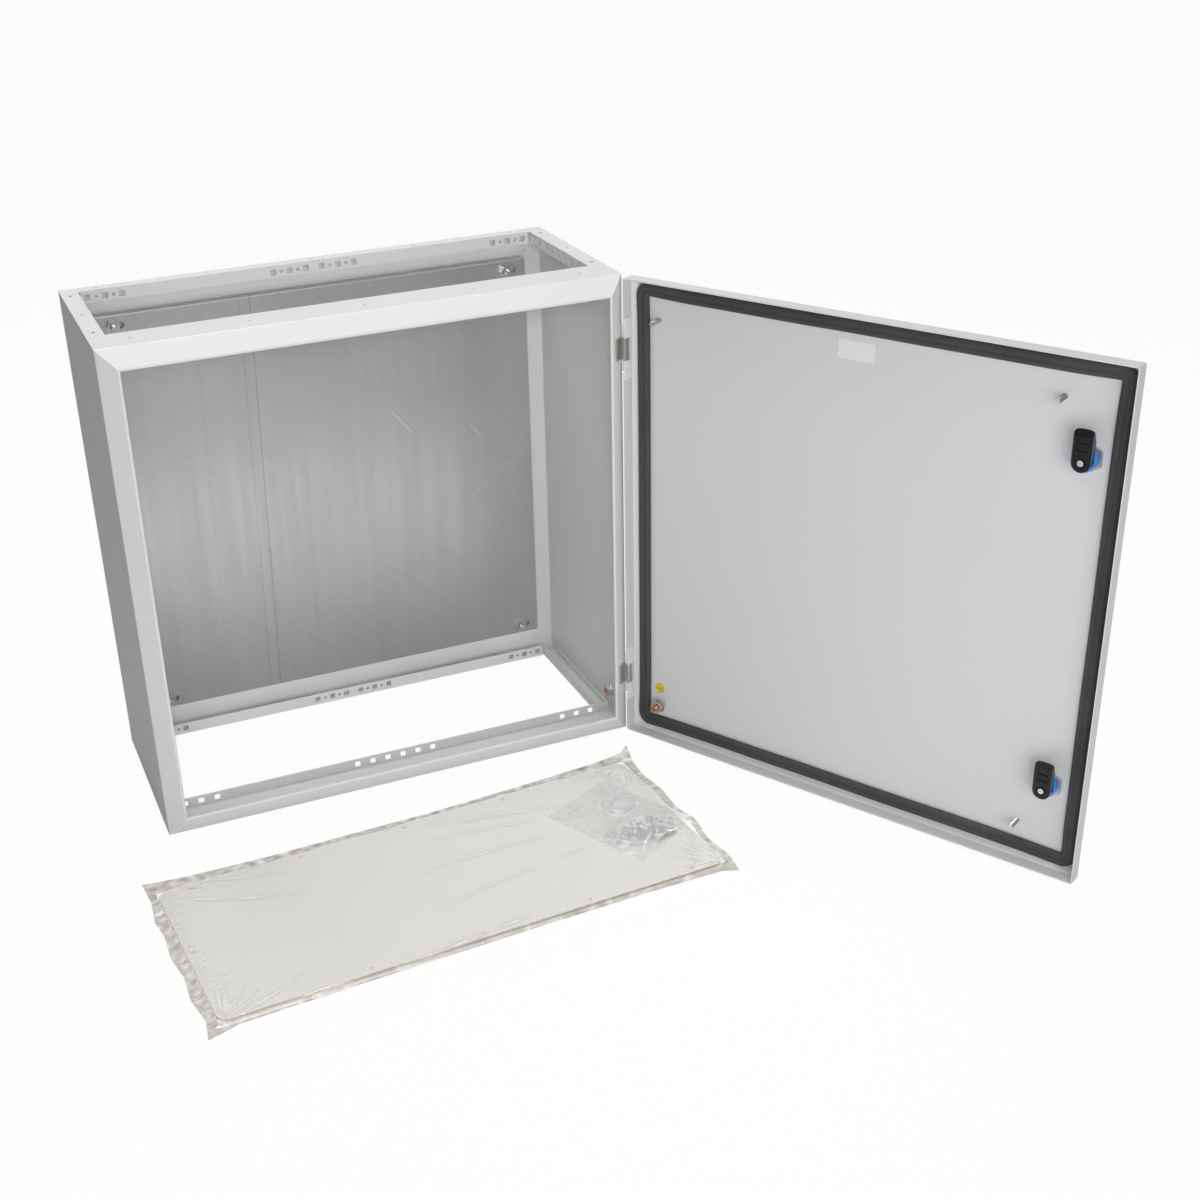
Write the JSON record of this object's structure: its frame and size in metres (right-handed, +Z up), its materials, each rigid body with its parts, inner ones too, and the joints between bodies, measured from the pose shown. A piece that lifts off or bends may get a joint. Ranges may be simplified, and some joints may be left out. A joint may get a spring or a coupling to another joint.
{
  "type": "steel wall enclosure",
  "caption": "Folded steel wall enclosure with a gasketed side-hinged door, quarter-turn locks, mounting plate and open perforated gland frames; loose gland plates lie in front.",
  "frame": {"origin": "centre of the four wall fixing holes, on the rear face", "axes": "+X to the right seen from the front, +Y to the rear towards the wall, +Z up"},
  "size_m": [0.9484, 0.7818, 0.6],
  "materials": {
    "paint": "light grey textured powder coat",
    "galvanised": "galvanised sheet, satin",
    "zinc": "bright zinc plating",
    "steel": "ground steel pin",
    "zinc_cast": "zinc die casting",
    "copper": "copper plating",
    "foam": "dark foamed gasket",
    "seal_paper": "light sealing strip",
    "blue_plastic": "blue moulded plastic",
    "black_plastic": "black glass-filled plastic",
    "yellow_label": "printed film",
    "white_label": "blank film"
  },
  "bodies": {
    "body": {"body_wrapper": "paint", "top_frame": "paint", "bottom_frame": "paint", "hinge_brackets": "zinc", "hinge_pins": "steel", "mounting_plate": "galvanised", "mounting_studs": "zinc", "plate_spacers": "zinc", "plate_washers": "zinc", "plate_nuts": "zinc", "wall_earth_stud": "copper", "wall_earth_nuts": "zinc"},
    "door": {"door_panel": "paint", "door_gasket": "foam", "door_knuckles": "paint", "door_studs": "zinc", "door_earth_stud": "copper", "door_earth_nuts": "zinc", "earth_label": "yellow_label", "rating_label": "white_label", "lock_collars": "zinc_cast", "lock_barrels": "blue_plastic", "lock_nuts": "zinc_cast"},
    "upper_cam": {"upper_lock_spindle": "zinc_cast", "upper_lock_cam": "black_plastic", "upper_cam_screw": "zinc"},
    "lower_cam": {"lower_lock_spindle": "zinc_cast", "lower_lock_cam": "black_plastic", "lower_cam_screw": "zinc"},
    "gland_pack": {"gland_plate_lower": "paint", "gland_seal": "seal_paper", "gland_plate_upper": "paint"}
  },
  "joints": [
    {"name": "door_hinge", "type": "hinge", "parent": "body", "child": "door", "pos_m": [0.3, -0.2595, 0], "axis": [0, 0, 1], "range_deg": [-120, 0]},
    {"name": "upper_lock_turn", "type": "hinge", "parent": "door", "child": "upper_cam", "pos_m": [0.57668, -0.73773, 0.191], "axis": [0.866, 0.5, 0], "range_deg": [0, 90]},
    {"name": "lower_lock_turn", "type": "hinge", "parent": "door", "child": "lower_cam", "pos_m": [0.57668, -0.73773, -0.191], "axis": [0.866, 0.5, 0], "range_deg": [0, 90]},
    {"name": "gland_pack_slide", "type": "slide", "parent": "body", "child": "gland_pack", "axis": [0, -1, 0], "range_m": [0, 0.3]}
  ]
}
